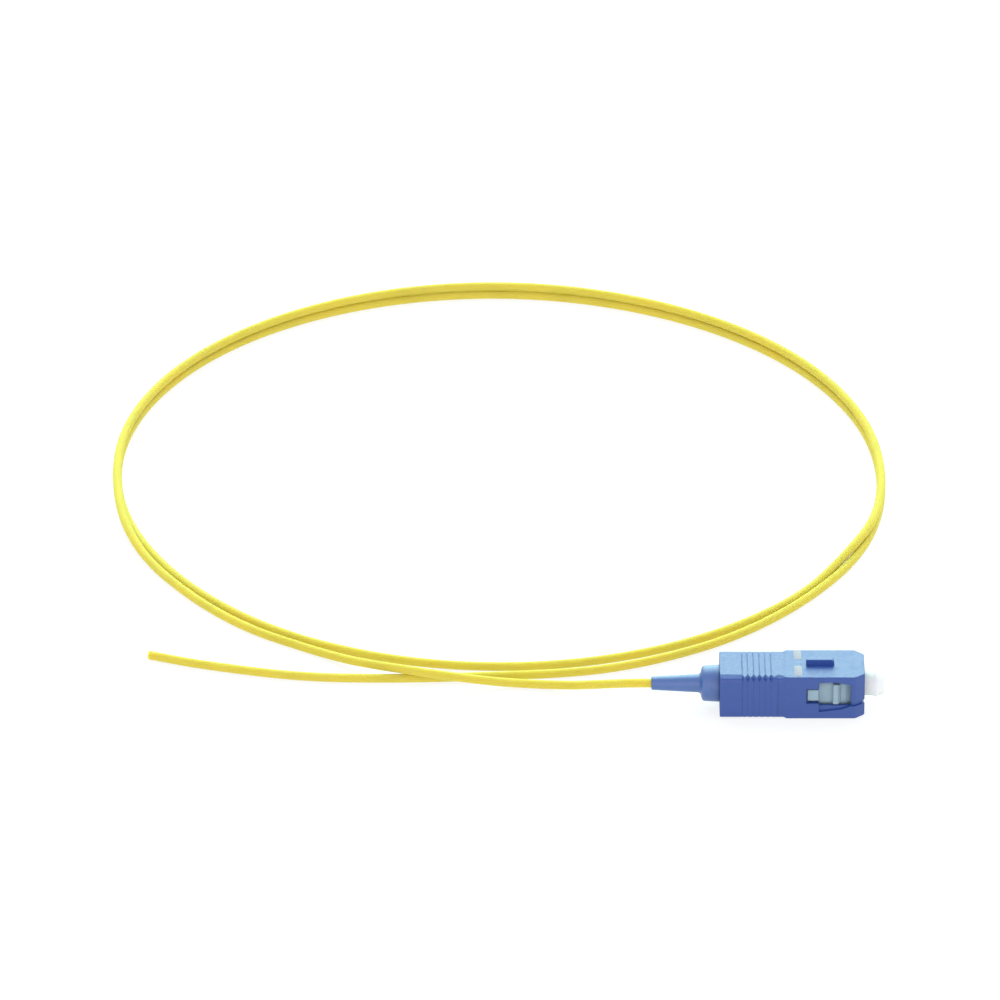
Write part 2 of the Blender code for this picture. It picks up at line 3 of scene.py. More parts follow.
import bmesh
import bpy
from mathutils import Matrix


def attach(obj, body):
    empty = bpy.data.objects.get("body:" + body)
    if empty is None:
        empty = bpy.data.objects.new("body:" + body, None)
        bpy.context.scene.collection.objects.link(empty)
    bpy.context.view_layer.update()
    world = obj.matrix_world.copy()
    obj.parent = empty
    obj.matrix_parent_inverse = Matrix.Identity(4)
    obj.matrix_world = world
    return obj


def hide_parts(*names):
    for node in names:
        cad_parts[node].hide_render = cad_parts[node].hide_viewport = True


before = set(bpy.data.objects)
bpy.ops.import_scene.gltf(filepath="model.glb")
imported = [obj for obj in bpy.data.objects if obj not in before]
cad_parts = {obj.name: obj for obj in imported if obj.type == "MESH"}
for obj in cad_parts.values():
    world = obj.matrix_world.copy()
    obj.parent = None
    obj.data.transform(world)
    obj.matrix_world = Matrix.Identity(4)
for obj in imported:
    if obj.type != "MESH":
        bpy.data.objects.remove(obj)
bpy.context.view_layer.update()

MM = 0.001

# ---------------------------------------------------------------- the route
AXIS_Z = 3.95 * MM
CORD_D = 1.4 * MM
CORD_R = CORD_D / 2
LOOP_CX, LOOP_CY = -42.17 * MM, 77.5 * MM
LOOP_A, LOOP_B = 61.85 * MM, 65.67 * MM
TOUCH = 1.45 * MM
SIDE_FAR = 1.28 * MM
TOP_STEP = 0.22 * MM
LOWER_STEP = (0.35, 0.0, -0.52, -0.03, 0.12, 0.0, -0.35, -0.85, -0.55, 0.22, 0.4, 0.5)

LEAD_POINTS = [(-18.45, 0.0, 3.95), (-20.2, 0.06, 3.93), (-22.4, 0.58, 3.6), (-26.1, 2.3, 2.5),
               (-30.0, 4.05, 1.4), (-33.9, 5.2, 0.85), (-37.9, 5.75, 0.76), (-41.8, 5.8, 1.02),
               (-45.7, 5.75, 1.52), (-49.6, 6.0, 1.96), (-53.5, 6.75, 2.16), (-57.5, 8.1, 2.14),
               (-61.4, 10.05, 1.76), (-65.4, 12.7, 1.18), (-69.4, 15.55, 0.81), (-73.4, 18.3, 0.7)]
TAIL_POINTS = [(-18.2, 13.35, 0.7), (-26.1, 10.5, 0.7), (-33.9, 9.1, 0.7), (-41.8, 8.45, 0.7),
               (-48.0, 8.0, 0.7), (-54.5, 7.7, 0.7), (-61.1, 7.6, 0.7), (-69.7, 7.93, 0.7),
               (-76.2, 8.88, 0.7), (-84.0, 10.8, 0.7), (-90.5, 12.75, 0.7), (-97.1, 15.3, 0.7)]


def ease(t):
    t = min(1.0, max(0.0, t))
    return t * t * (3 - 2 * t)


def smooth_curve(points, step):
    """Points about step apart on a centripetal spline through the given ones."""
    pts = [list(points[0])] + [list(p) for p in points] + [list(points[-1])]
    pts[0] = [2 * pts[1][i] - pts[2][i] for i in range(3)]
    pts[-1] = [2 * pts[-2][i] - pts[-3][i] for i in range(3)]
    out = []
    for i in range(1, len(pts) - 2):
        p0, p1, p2, p3 = pts[i - 1], pts[i], pts[i + 1], pts[i + 2]
        d = [math.sqrt(max(math.dist(a, b), 1e-12)) for a, b in ((p0, p1), (p1, p2), (p2, p3))]
        m1 = [0.0] * 3
        m2 = [0.0] * 3
        for k in range(3):
            m1[k] = (p2[k] - p1[k]) + d[1] * ((p1[k] - p0[k]) / d[0] - (p2[k] - p0[k]) / (d[0] + d[1]))
            m2[k] = (p2[k] - p1[k]) + d[1] * ((p3[k] - p2[k]) / d[2] - (p3[k] - p1[k]) / (d[1] + d[2]))
        n = max(1, int(round(math.dist(p1, p2) / step)))
        for j in range(n):
            t = j / n
            h1, h2 = 2 * t ** 3 - 3 * t ** 2 + 1, -2 * t ** 3 + 3 * t ** 2
            h3, h4 = t ** 3 - 2 * t ** 2 + t, t ** 3 - t ** 2
            out.append([h1 * p1[k] + h2 * p2[k] + h3 * m1[k] + h4 * m2[k] for k in range(3)])
    out.append(list(pts[-2]))
    return [(p[0], p[1], max(p[2], CORD_R)) for p in out]


def loop_point(deg, out, rise):
    f = math.radians(deg)
    return (LOOP_CX - (LOOP_A + out) * math.sin(f),
            LOOP_CY - (LOOP_B + out) * math.cos(f),
            CORD_R + rise)


def lower_line(deg):
    """Outward step of the line that the lower turn follows."""
    n = len(LOWER_STEP)
    u = (deg % 360.0) / 360.0 * n
    i = int(u)
    t = u - i
    p0, p1, p2, p3 = (LOWER_STEP[(i + k) % n] for k in (-1, 0, 1, 2))
    return MM * 0.5 * (2 * p1 + (p2 - p0) * t + (2 * p0 - 5 * p1 + 4 * p2 - p3) * t * t
                       + (3 * p1 - p0 - 3 * p2 + p3) * t ** 3)


def second_turn(deg):
    """Outward step and rise of the turn that ends in the tail."""
    apart = TOUCH * ease((deg - 264.0) / 38.0) + SIDE_FAR * ease((deg - 302.0) / 36.0)
    return lower_line(deg) + apart, 0.0


def first_turn(deg):
    """Outward step and rise of the turn that starts at the plug.

    It comes in beside the lower turn, climbs onto it at the left, lies on it
    round the far side and comes down inside it at the right.
    """
    line = lower_line(deg)
    if deg < 58.0:
        return line + TOUCH + 0.7 * MM * (1 - ease((deg - 34.0) / 24.0)), 0.0
    if deg < 90.0:
        t = math.pi / 2 * ease((deg - 58.0) / 32.0)
        return line + TOUCH * math.cos(t), TOUCH * math.sin(t)
    if deg < 284.0:
        step = TOP_STEP * ease((deg - 135.0) / 40.0) * ease((264.0 - deg) / 40.0)
        return second_turn(deg)[0] + step, math.sqrt(TOUCH ** 2 - step ** 2)
    t = math.pi / 2 * ease((deg - 284.0) / 24.0)
    beside = second_turn(deg)[0] - TOUCH * math.sin(t)
    k = ease((deg - 300.0) / 20.0)
    return beside + (line - beside) * k, TOUCH * math.cos(t)


def cord_route():
    pts = [tuple(c * MM for c in p) for p in LEAD_POINTS]
    pts += [loop_point(d, *first_turn(d)) for d in range(36, 360, 6)]
    pts += [loop_point(d, *second_turn(d)) for d in range(0, 331, 6)]
    pts += [tuple(c * MM for c in p) for p in TAIL_POINTS]
    return pts


# --------------------------------------------------------------- the camera
scene = bpy.context.scene
cam_data = bpy.data.cameras.new("camera")
cam_data.sensor_fit = 'HORIZONTAL'
cam_data.sensor_width = 36.0
cam_data.lens = 10880.0 / 1000.0 * 36.0
cam_data.clip_start = 0.01
cam_data.clip_end = 50.0
cam = bpy.data.objects.new("camera", cam_data)
scene.collection.objects.link(cam)
cam.location = (-0.0417891, -1.494204, 0.8149866)
cam.rotation_euler = (math.radians(90.0 - 27.5282), 0.0, 0.0)
scene.camera = cam


# ------------------------------------------------------------ material tools
def new_material(name):
    m = bpy.data.materials.new(name)
    m.use_nodes = True
    nt = m.node_tree
    return m, nt, nt.nodes["Principled BSDF"]


def noise(nt, scale, detail=3.0, rough=0.5, coord="Object", stretch=None):
    tc = nt.nodes.new("ShaderNodeTexCoord")
    n = nt.nodes.new("ShaderNodeTexNoise")
    n.inputs["Scale"].default_value = scale
    n.inputs["Detail"].default_value = detail
    n.inputs["Roughness"].default_value = rough
    if stretch is None:
        nt.links.new(tc.outputs[coord], n.inputs["Vector"])
    else:
        mp = nt.nodes.new("ShaderNodeMapping")
        mp.inputs["Scale"].default_value = stretch
        nt.links.new(tc.outputs[coord], mp.inputs["Vector"])
        nt.links.new(mp.outputs["Vector"], n.inputs["Vector"])
    return n


def ramp(nt, source, stops):
    r = nt.nodes.new("ShaderNodeValToRGB")
    el = r.color_ramp.elements
    while len(el) < len(stops):
        el.new(0.5)
    for e, (pos, col) in zip(el, stops):
        e.position = pos
        e.color = (*col, 1.0)
    nt.links.new(source, r.inputs["Fac"])
    return r


def to_range(nt, source, lo, hi, a=0.3, b=0.7):
    r = nt.nodes.new("ShaderNodeMapRange")
    r.inputs["From Min"].default_value = a
    r.inputs["From Max"].default_value = b
    r.inputs["To Min"].default_value = lo
    r.inputs["To Max"].default_value = hi
    nt.links.new(source, r.inputs["Value"])
    return r


def bump(nt, p, source, strength, distance, after=None):
    b = nt.nodes.new("ShaderNodeBump")
    b.inputs["Strength"].default_value = strength
    b.inputs["Distance"].default_value = distance
    nt.links.new(source, b.inputs["Height"])
    if after is not None:
        nt.links.new(after.outputs["Normal"], b.inputs["Normal"])
    nt.links.new(b.outputs["Normal"], p.inputs["Normal"])
    return b


def shade(rgb, k):
    return tuple(min(1.0, c * k) for c in rgb)


def moulded(name, rgb, rough, spread=0.05, grain=9000.0, grain_depth=0.000004,
            flow=700.0, coat=None, subsurface=None, ior=1.5):
    """Moulded plastic: flow marks in the colour, a fine spark-eroded grain, uneven gloss."""
    m, nt, p = new_material(name)
    n1 = noise(nt, flow, 4.0, 0.55)
    r = ramp(nt, n1.outputs["Fac"], [(0.3, shade(rgb, 1 - spread)), (0.5, rgb), (0.72, shade(rgb, 1 + spread))])
    nt.links.new(r.outputs["Color"], p.inputs["Base Color"])
    n2 = noise(nt, flow * 2.6, 3.0, 0.5)
    rr = to_range(nt, n2.outputs["Fac"], rough - 0.05, rough + 0.07)
    nt.links.new(rr.outputs["Result"], p.inputs["Roughness"])
    n3 = noise(nt, grain, 2.0, 0.6)
    b1 = bump(nt, p, n3.outputs["Fac"], 0.6, grain_depth)
    n4 = noise(nt, flow * 0.45, 1.0, 0.4)
    bump(nt, p, n4.outputs["Fac"], 0.5, grain_depth * 6, after=b1)
    p.inputs["IOR"].default_value = ior
    if coat is not None:
        p.inputs["Coat Weight"].default_value = coat
        p.inputs["Coat Roughness"].default_value = 0.2
    if subsurface is not None:
        p.inputs["Subsurface Weight"].default_value = subsurface
        p.inputs["Subsurface Radius"].default_value = (0.6, 0.8, 1.0)
        p.inputs["Subsurface Scale"].default_value = 0.0008
    return m


def metal(name, rgb, rough, stretch):
    m, nt, p = new_material(name)
    p.inputs["Metallic"].default_value = 1.0
    n1 = noise(nt, 2500.0, 4.0, 0.6, stretch=stretch)
    r = ramp(nt, n1.outputs["Fac"], [(0.3, shade(rgb, 0.85)), (0.55, rgb), (0.75, shade(rgb, 1.08))])
    nt.links.new(r.outputs["Color"], p.inputs["Base Color"])
    rr = to_range(nt, n1.outputs["Fac"], rough - 0.05, rough + 0.12)
    nt.links.new(rr.outputs["Result"], p.inputs["Roughness"])
    bump(nt, p, n1.outputs["Fac"], 0.4, 0.000003)
    return m


BLUE = (0.013, 0.058, 0.272)
blue_plastic = moulded("housing_blue", BLUE, 0.42, spread=0.05, ior=1.65)
boot_rubber = moulded("boot_blue", (0.030, 0.100, 0.325), 0.42, spread=0.07, grain=14000.0,
                      grain_depth=0.000006, flow=900.0, ior=1.85)
# the white frame is given a dark bluish grey: painted shade of the window recess and painted blue bounce light
frame_white_painted_shade = moulded("frame_white_painted_shade", (0.265, 0.375, 0.44), 0.45, spread=0.04, subsurface=0.15)
mark_white = moulded("mark_white", (0.36, 0.345, 0.40), 0.7, spread=0.03, grain=16000.0,
                     grain_depth=0.000008, flow=2500.0)
dark_plastic = moulded("rear_body_dark", (0.16, 0.18, 0.20), 0.45)
zirconia = moulded("zirconia", (0.84, 0.85, 0.83), 0.14, spread=0.015, grain_depth=0.0000005,
                   coat=0.3, subsurface=0.2)
nickel = metal("nickel_plate", (0.66, 0.65, 0.62), 0.24, (0.2, 1.0, 1.0))
steel = metal("spring_steel", (0.56, 0.57, 0.58), 0.28, (1.0, 1.0, 1.0))


def jacket_material():
    """Extruded buffer: smooth, with faint lengthwise streaks, scuffs and ink-like warmth."""
    rgb = (0.60, 0.51, 0.078)
    m, nt, p = new_material("jacket_yellow")
    n1 = noise(nt, 130.0, 3.0, 0.5)
    r = ramp(nt, n1.outputs["Fac"], [(0.3, shade(rgb, 0.94)), (0.5, rgb), (0.7, (0.62, 0.50, 0.073))])
    n2 = noise(nt, 2600.0, 3.0, 0.6)
    mix = nt.nodes.new("ShaderNodeMix")
    mix.data_type = 'RGBA'
    mix.blend_type = 'MULTIPLY'
    mix.inputs["Factor"].default_value = 0.12
    r2 = ramp(nt, n2.outputs["Fac"], [(0.3, (0.86, 0.86, 0.86)), (0.6, (1.0, 1.0, 1.0))])
    nt.links.new(r.outputs["Color"], mix.inputs["A"])
    nt.links.new(r2.outputs["Color"], mix.inputs["B"])
    nt.links.new(mix.outputs["Result"], p.inputs["Base Color"])
    rr = to_range(nt, n2.outputs["Fac"], 0.55, 0.68)
    nt.links.new(rr.outputs["Result"], p.inputs["Roughness"])
    n3 = noise(nt, 5200.0, 2.0, 0.6)
    bump(nt, p, n3.outputs["Fac"], 0.4, 0.0000015)
    p.inputs["IOR"].default_value = 1.3
    p.inputs["Specular IOR Level"].default_value = 0.2
    p.inputs["Subsurface Weight"].default_value = 0.9
    p.inputs["Subsurface Radius"].default_value = (1.0, 0.9, 0.4)
    p.inputs["Subsurface Scale"].default_value = 0.0018
    return m


def cap_material():
    """Translucent soft polyethylene: cloudy, waxy, with a light moulding haze."""
    m, nt, p = new_material("cap_translucent")
    n1 = noise(nt, 800.0, 3.0, 0.5)
    r = ramp(nt, n1.outputs["Fac"], [(0.3, (0.86, 0.865, 0.86)), (0.7, (0.92, 0.925, 0.92))])
    nt.links.new(r.outputs["Color"], p.inputs["Base Color"])
    rr = to_range(nt, n1.outputs["Fac"], 0.36, 0.5)
    nt.links.new(rr.outputs["Result"], p.inputs["Roughness"])
    n2 = noise(nt, 6000.0, 2.0, 0.5)
    bump(nt, p, n2.outputs["Fac"], 0.5, 0.000005)
    p.inputs["IOR"].default_value = 1.25
    p.inputs["Transmission Weight"].default_value = 0.2
    p.inputs["Subsurface Weight"].default_value = 0.35
    p.inputs["Subsurface Radius"].default_value = (1.0, 1.0, 1.0)
    p.inputs["Subsurface Scale"].default_value = 0.001
    return m


jacket = jacket_material()
cap_clear = cap_material()


# ---------------------------------------------------------------- mesh tools
def put(name, bm, mat, smooth_deg=35.0):
    bmesh.ops.recalc_face_normals(bm, faces=bm.faces[:])
    me = bpy.data.meshes.new(name)
    bm.to_mesh(me)
    bm.free()
    ob = bpy.data.objects.new(name, me)
    scene.collection.objects.link(ob)
    if mat is not None:
        me.materials.append(mat)
    for poly in me.polygons:
        poly.use_smooth = True
    me.set_sharp_from_angle(angle=math.radians(smooth_deg))
    return ob


def loft(name, rings, mat=None, closed=False, smooth_deg=35.0):
    bm = bmesh.new()
    made = [[bm.verts.new(p) for p in ring] for ring in rings]
    n = len(made[0])
    for i in range(len(made) if closed else len(made) - 1):
        a, b = made[i], made[(i + 1) % len(made)]
        for k in range(n):
            bm.faces.new((a[k], a[(k + 1) % n], b[(k + 1) % n], b[k]))
    if not closed:
        bm.faces.new(list(reversed(made[0])))
        bm.faces.new(made[-1])
    return put(name, bm, mat, smooth_deg)


def corner_ring(x, half_w, z0, z1, cut, soft=0.03 * MM, near_top=None, near_low=None):
    """A bar's outline: corners cut by `cut`, each cut's edges softened.

    near_top rounds the near top corner instead, wider across the top than down the side,
    and near_low rounds the near bottom one.
    """
    def soften(prev, here, nxt):
        def toward(a, b, d):
            length = math.dist(a, b)
            d = min(d, 0.45 * length)
            return (a[0] + (b[0] - a[0]) * d / length, a[1] + (b[1] - a[1]) * d / length)
        p, q = toward(here, prev, soft), toward(here, nxt, soft)
        mid = (0.25 * p[0] + 0.5 * here[0] + 0.25 * q[0], 0.25 * p[1] + 0.5 * here[1] + 0.25 * q[1])
        return [p, mid, q]

    c = max(cut, 0.02 * MM)
    n = c if near_top is None else max(near_top, 0.02 * MM)
    low = c if near_low is None else max(near_low, 0.02 * MM)
    base = [(-half_w + low, z0), (half_w - c, z0), (half_w, z0 + c), (half_w, z1 - c), (half_w - c, z1),
            (-half_w + n, z1), (-half_w + 0.3 * n, z1 - 0.26 * n), (-half_w + 0.11 * n, z1 - 0.44 * n),
            (-half_w, z1 - 0.72 * n), (-half_w, z0 + low), (-half_w + 0.3 * low, z0 + 0.3 * low)]
    out = []
    for i, here in enumerate(base):
        out += soften(base[i - 1], here, base[(i + 1) % len(base)])
    return [(x, y, z) for y, z in out]


def round_ring(x, half_w, z0, z1, r, steps=7):
    """A bar's outline with its corners rounded to the radius r."""
    out = []
    for cy, cz, start in ((half_w - r, z1 - r, 0), (-half_w + r, z1 - r, 90),
                          (-half_w + r, z0 + r, 180), (half_w - r, z0 + r, 270)):
        for k in range(steps + 1):
            t = math.radians(start + 90.0 * k / steps)
            out.append((x, cy + r * math.cos(t), cz + r * math.sin(t)))
    return out


def turned(name, outline, mat, seg=96, smooth_deg=40.0, rounding=None):
    """A solid turned about the ferrule axis from a closed outline (x, r); r = 0 is on the axis."""
    if rounding:
        outline = rounded(outline, rounding)
    bm = bmesh.new()
    rings = []
    for x, r in outline:
        if r <= 0.0:
            rings.append([bm.verts.new((x, 0.0, AXIS_Z))])
        else:
            rings.append([bm.verts.new((x, r * math.cos(2 * math.pi * k / seg),
                                        AXIS_Z + r * math.sin(2 * math.pi * k / seg))) for k in range(seg)])
    count = len(rings)
    open_ends = len(rings[0]) == 1 and len(rings[-1]) == 1
    for i in range(count - 1 if open_ends else count):
        a, b = rings[i], rings[(i + 1) % count]
        for k in range(seg):
            k2 = (k + 1) % seg
            if len(a) == 1 and len(b) == 1:
                break
            if len(a) == 1:
                bm.faces.new((a[0], b[k], b[k2]))
            elif len(b) == 1:
                bm.faces.new((a[k], b[0], a[k2]))
            else:
                bm.faces.new((a[k], b[k], b[k2], a[k2]))
    return put(name, bm, mat, smooth_deg)


def rounded(outline, radii):
    """The outline with the corners named in radii {index: radius} made round."""
    out = []
    n = len(outline)
    for i, here in enumerate(outline):
        r = radii.get(i, 0.0)
        if r <= 0.0:
            out.append(here)
            continue
        prev, nxt = outline[i - 1], outline[(i + 1) % n]
        la, lb = math.dist(here, prev), math.dist(here, nxt)
        r = min(r, 0.48 * la, 0.48 * lb)
        a = (here[0] + (prev[0] - here[0]) * r / la, here[1] + (prev[1] - here[1]) * r / la)
        b = (here[0] + (nxt[0] - here[0]) * r / lb, here[1] + (nxt[1] - here[1]) * r / lb)
        for k in range(6):
            t = k / 5
            out.append(tuple((1 - t) ** 2 * a[j] + 2 * t * (1 - t) * here[j] + t * t * b[j] for j in (0, 1)))
    return out


def offset_outline(poly, d):
    """A polygon grown by d on every side (mitred)."""
    area = sum(a[0] * b[1] - b[0] * a[1] for a, b in zip(poly, poly[1:] + poly[:1]))
    s = 1.0 if area > 0 else -1.0
    out = []
    n = len(poly)
    for i in range(n):
        a, b, c = poly[i - 1], poly[i], poly[(i + 1) % n]
        u = ((b[0] - a[0]), (b[1] - a[1]))
        v = ((c[0] - b[0]), (c[1] - b[1]))
        lu, lv = math.hypot(*u), math.hypot(*v)
        nu = (s * u[1] / lu, -s * u[0] / lu)
        nv = (s * v[1] / lv, -s * v[0] / lv)
        k = 1.0 + nu[0] * nv[0] + nu[1] * nv[1]
        out.append((b[0] + d * (nu[0] + nv[0]) / k, b[1] + d * (nu[1] + nv[1]) / k))
    return out


def cut(target, tool, operation='DIFFERENCE'):
    """Applies a Boolean and removes its tool."""
    mod = target.modifiers.new("cut", 'BOOLEAN')
    mod.operation = operation
    mod.solver = 'EXACT'
    mod.object = tool
    dg = bpy.context.evaluated_depsgraph_get()
    dg.update()
    me = bpy.data.meshes.new_from_object(target.evaluated_get(dg))
    target.modifiers.remove(mod)
    old = target.data
    target.data = me
    bpy.data.meshes.remove(old)
    bpy.data.objects.remove(tool, do_unlink=True)


def finish_faces(ob, smooth_deg=35.0):
    for poly in ob.data.polygons:
        poly.use_smooth = True
    ob.data.set_sharp_from_angle(angle=math.radians(smooth_deg))
    wn = ob.modifiers.new("even_shading", 'WEIGHTED_NORMAL')
    wn.keep_sharp = True


# ------------------------------------------------------------------- the cord
route = [(-13.5 * MM, 0.0, AXIS_Z), (-15.2 * MM, 0.0, AXIS_Z), (-16.9 * MM, 0.0, AXIS_Z)] + cord_route()
line = smooth_curve(route, 1.4 * MM)
cu = bpy.data.curves.new("cord", 'CURVE')
cu.dimensions = '3D'
cu.bevel_depth = CORD_R
cu.bevel_resolution = 6
cu.use_fill_caps = True
sp = cu.splines.new('POLY')
sp.points.add(len(line) - 1)
for i, p in enumerate(line):
    sp.points[i].co = (p[0], p[1], p[2], 1.0)
sp.use_smooth = True
cord = bpy.data.objects.new("fibre_cord", cu)
scene.collection.objects.link(cord)
cu.materials.append(jacket)
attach(cord, "plug")
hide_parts("cable_lead", "cable_coil", "cable_tail")

# the coated fibre that shows in the cut end
end, before = line[-1], line[-2]
du = [(end[k] - before[k]) / math.dist(end, before) for k in range(3)]
side = (-du[1], du[0], 0.0)
sl = math.hypot(*side)
side = (side[0] / sl, side[1] / sl, 0.0)
core_rings = []
for along, rad in ((-0.6, 0.125), (-0.02, 0.125), (0.035, 0.125), (0.05, 0.11), (0.055, 0.07)):
    ring = []
    for k in range(24):
        a = 2 * math.pi * k / 24
        ring.append(tuple(end[j] + du[j] * along * MM + rad * MM * (side[j] * math.cos(a) + (math.sin(a) if j == 2 else 0.0))
                          for j in range(3)))
    core_rings.append(ring)
core_mat = moulded("fibre_coating", (0.80, 0.82, 0.80), 0.2, spread=0.02, grain_depth=0.000001, coat=0.4)
core = loft("fibre_core", core_rings, core_mat, smooth_deg=50.0)
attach(core, "plug")


# ---------------------------------------------------------- the outer housing
BACK, FRONT = -7.51 * MM, 15.09 * MM
STEP0, STEP1 = 2.43 * MM, 2.95 * MM
REAR_H, REAR_Z0, REAR_Z1, REAR_CUT = 4.33 * MM, 0.17 * MM, 7.23 * MM, 1.15 * MM
RIB_FIRST, RIB_PITCH, RIB_COUNT = -3.62 * MM, 0.914 * MM, 6


LOW_EDGE = 0.3 * MM


def rear(x, grow=0.0, near=REAR_CUT, edge=0.06 * MM, up=None):
    top = REAR_Z1 + (grow if up is None else up)
    return corner_ring(x, REAR_H + grow, REAR_Z0 - grow, top, edge, 0.03 * MM, near, LOW_EDGE)


rings = [rear(BACK, -0.12 * MM, REAR_CUT, 0.1 * MM), rear(BACK + 0.03 * MM, -0.05 * MM, REAR_CUT, 0.08 * MM),
         rear(BACK + 0.09 * MM, -0.01 * MM), rear(BACK + 0.15 * MM, 0.0)]
first = RIB_FIRST - RIB_PITCH / 2
rings.append(rear(first - 0.9 * MM))
rings.append(rear(first - 0.02 * MM, 0.0, 1.12 * MM))
rings.append(rear(first + 0.05 * MM, -0.045 * MM, 1.12 * MM, up=-0.08 * MM))
rings.append(rear(first + 0.12 * MM, -0.045 * MM, 1.1 * MM, up=-0.08 * MM))
for i in range(RIB_COUNT):
    c = RIB_FIRST + i * RIB_PITCH
    # a crest with a full near top edge, then a narrow groove that runs down the side
    for dx, grow, up, near in ((-0.30, 0.0, 0.0, 0.95), (-0.22, 0.0, 0.004, 0.6), (-0.12, 0.006, 0.012, 0.42),
                               (0.08, 0.006, 0.012, 0.42), (0.20, 0.0, 0.012, 0.7), (0.37, -0.005, 0.008, 1.05),
                               (0.42, -0.04, -0.065, 1.12), (0.48, -0.04, -0.065, 1.12), (0.54, -0.005, 0.0, 1.05)):
        if i < RIB_COUNT - 1 or dx < 0.3:
            rings.append(rear(c + dx * MM, grow * MM, near * MM, up=up * MM))
last = RIB_FIRST + (RIB_COUNT - 0.5) * RIB_PITCH
rings.append(rear(last + 0.16 * MM))
rings.append(rear(STEP0 - 0.9 * MM))
rings.append(rear(STEP0 - 0.3 * MM, 0.0, 0.9 * MM))
rings.append(rear(STEP0 + 0.04 * MM, 0.012 * MM, 0.62 * MM))
rings.append(corner_ring(STEP1 - 0.08 * MM, 4.49 * MM, 0.012 * MM, 7.388 * MM, 0.04 * MM, 0.03 * MM, 0.1 * MM, LOW_EDGE))
rings.append(corner_ring(STEP1 + 0.05 * MM, 4.5 * MM, 0.0, 7.4 * MM, 0.04 * MM, 0.03 * MM, None, LOW_EDGE))
for x, side_in, bottom_in, top_in in ((13.3, 0.0, 0.0, 0.0), (13.52, 0.015, 0.0, 0.0), (13.66, 0.06, 0.005, 0.0),
                                      (13.8, 0.15, 0.01, 0.0), (14.8, 0.97, 0.04, 0.01), (14.95, 1.08, 0.07, 0.03),
                                      (15.05, 1.15, 0.11, 0.07), (15.09, 1.2, 0.15, 0.11)):
    rings.append(corner_ring(x * MM, (4.5 - side_in) * MM, bottom_in * MM, (7.4 - top_in) * MM,
                             (0.04 + 0.12 * side_in) * MM, 0.03 * MM, None, LOW_EDGE))
housing = loft("push_pull_housing", rings, blue_plastic)

# key rail
kx0, kx1, ky, kh, kz = 5.98 * MM, 10.37 * MM, -0.04 * MM, 0.46 * MM, 8.35 * MM
key_rings = []
for x, w, top in ((kx0, kh - 0.04 * MM, kz - 0.09 * MM), (kx0 + 0.03 * MM, kh - 0.01 * MM, kz - 0.03 * MM),
                  (kx0 + 0.1 * MM, kh, kz), (kx1 - 0.38 * MM, kh, kz), (kx1 - 0.25 * MM, kh, kz - 0.05 * MM),
                  (kx1 - 0.04 * MM, kh - 0.02 * MM, kz - 0.36 * MM), (kx1, kh - 0.05 * MM, kz - 0.5 * MM)):
    r = 0.1 * MM
    ring = [(x, ky - w, 7.1 * MM), (x, ky + w, 7.1 * MM), (x, ky + w, top - r),
            (x, ky + w - 0.3 * r, top - 0.3 * r), (x, ky + w - r, top),
            (x, ky - w + r, top), (x, ky - w + 0.3 * r, top - 0.3 * r), (x, ky - w, top - r)]
    key_rings.append(ring)
cut(housing, loft("key", key_rings), 'UNION')

# cavity, with softened mouth
CW, CZ0, CZ1 = 3.65 * MM, 1.1 * MM, 6.8 * MM
cut(housing, loft("cavity", [corner_ring(-5.8 * MM, CW, CZ0, CZ1, 0.35 * MM),
                             corner_ring(13.7 * MM, CW, CZ0, CZ1, 0.35 * MM),
                             corner_ring(14.95 * MM, 3.15 * MM, CZ0, CZ1, 0.35 * MM),
                             corner_ring(15.4 * MM, 3.2 * MM, CZ0 - 0.2 * MM, CZ1 + 0.2 * MM, 0.4 * MM)]))
cut(housing, turned("back_hole", [(BACK - 1 * MM, 0.0), (BACK - 1 * MM, 3.25 * MM), (BACK - 0.02 * MM, 3.25 * MM),
                                  (BACK + 0.18 * MM, 3.05 * MM), (-4.8 * MM, 3.05 * MM), (-4.8 * MM, 0.0)], None))

# T-shaped windows on both sides: a through part and a sloped pocket under it
outline = [(6.0, 2.72), (7.95, 2.72), (7.95, 1.25), (11.4, 1.7), (12.95, 2.25), (12.95, 5.93), (10.8, 6.42),
           (7.95, 6.42), (7.95, 5.26), (6.0, 5.26)]
outline = [(x * MM, z * MM) for x, z in outline]
through = [(x, max(z, 2.24 * MM) if x > 7.0 * MM else z) for x, z in outline]
through = [p for i, p in enumerate(through) if p != through[i - 1] and not (i in (4,) and p[1] <= 2.24 * MM)]
for sgn in (-1, 1):
    cut(housing, loft("pocket", [[(x, sgn * 4.12 * MM, z) for x, z in outline],
                                 [(x, sgn * 4.45 * MM, z) for x, z in outline],
                                 [(x, sgn * 4.54 * MM, z) for x, z in offset_outline(outline, 0.09 * MM)]]))
    cut(housing, loft("window", [[(x, sgn * 3.3 * MM, z) for x, z in through],
                                 [(x, sgn * 4.3 * MM, z) for x, z in through]]))
    # the slot from the window to the front
    slot = []
    for x, s in ((12.7, 0.0), (13.5, 0.02), (13.8, 0.15), (14.8, 0.97), (15.2, 1.3)):
        y_in, y_mid, y_out = 4.5 - s - 0.34, 4.5 - s - 0.05, 5.0
        slot.append([(x * MM, sgn * y * MM, z * MM) for y, z in
                     ((y_in, 2.3), (y_mid, 2.26), (y_out, 2.2), (y_out, 3.02), (y_mid, 2.93), (y_in, 2.86))])
    cut(housing, loft("slot", slot))
finish_faces(housing, 28.0)
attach(housing, "grip")
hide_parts("outer_housing")

